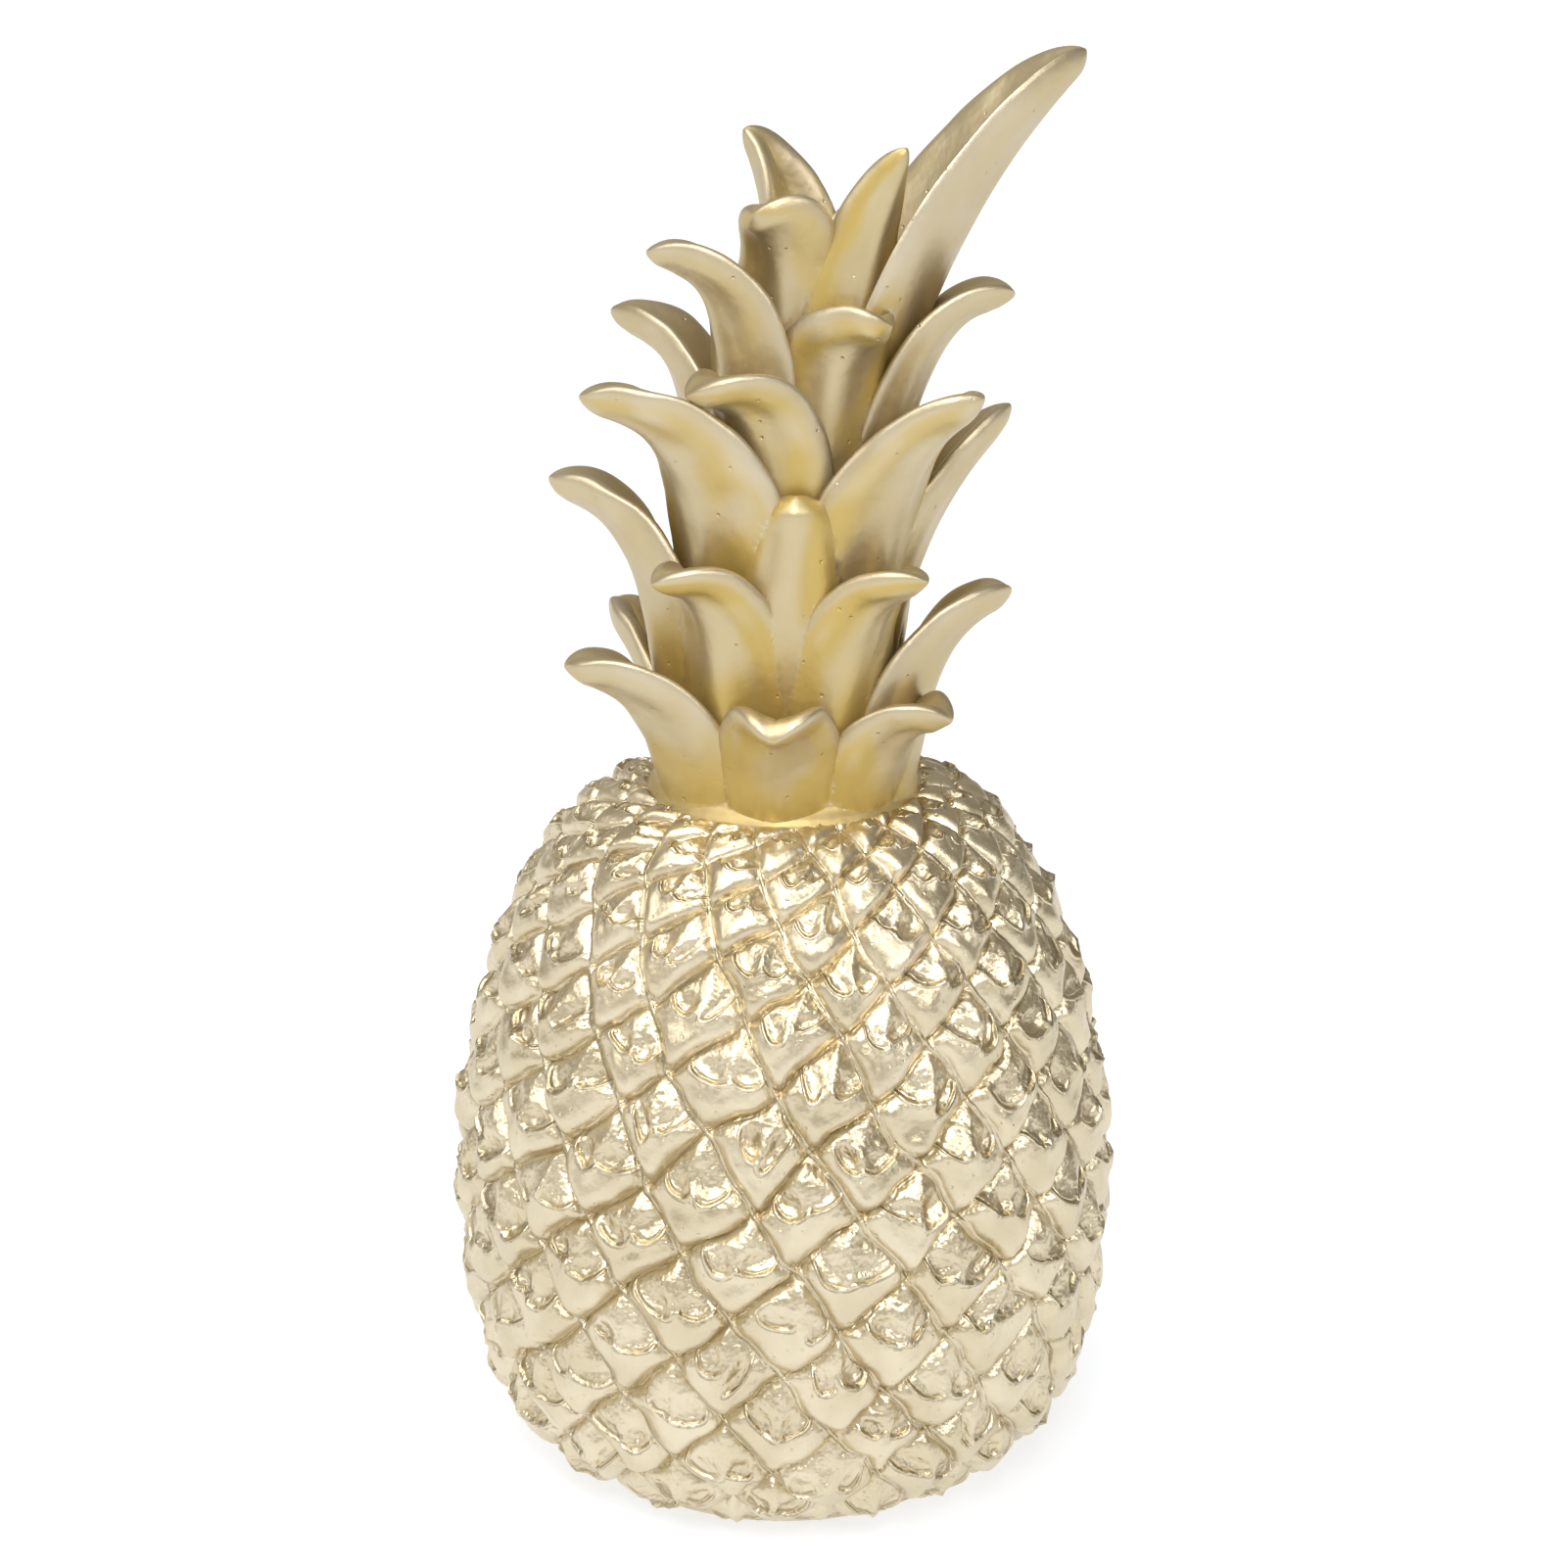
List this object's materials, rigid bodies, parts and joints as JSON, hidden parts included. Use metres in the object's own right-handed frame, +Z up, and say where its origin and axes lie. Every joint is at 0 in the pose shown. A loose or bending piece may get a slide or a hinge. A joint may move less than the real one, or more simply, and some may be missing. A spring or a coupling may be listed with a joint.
{
  "type": "decorative pineapple ornament",
  "caption": "Standing cast ornament in the shape of a pineapple, with diamond scales on a rounded fruit and a tall leaning crown of thick curled leaves.",
  "frame": {"origin": "centre of the flat circle that the fruit stands on", "axes": "+Z up along the fruit, -Y towards the viewer of the picture, +X to the right, the way the crown leans"},
  "size_m": [0.1148, 0.1148, 0.249],
  "materials": {
    "gold_paint": "champagne gold metallic paint on cast resin, glossy on the fruit and satin on the leaves"
  },
  "bodies": {
    "root": {"pineapple": "gold_paint"}
  },
  "joints": []
}
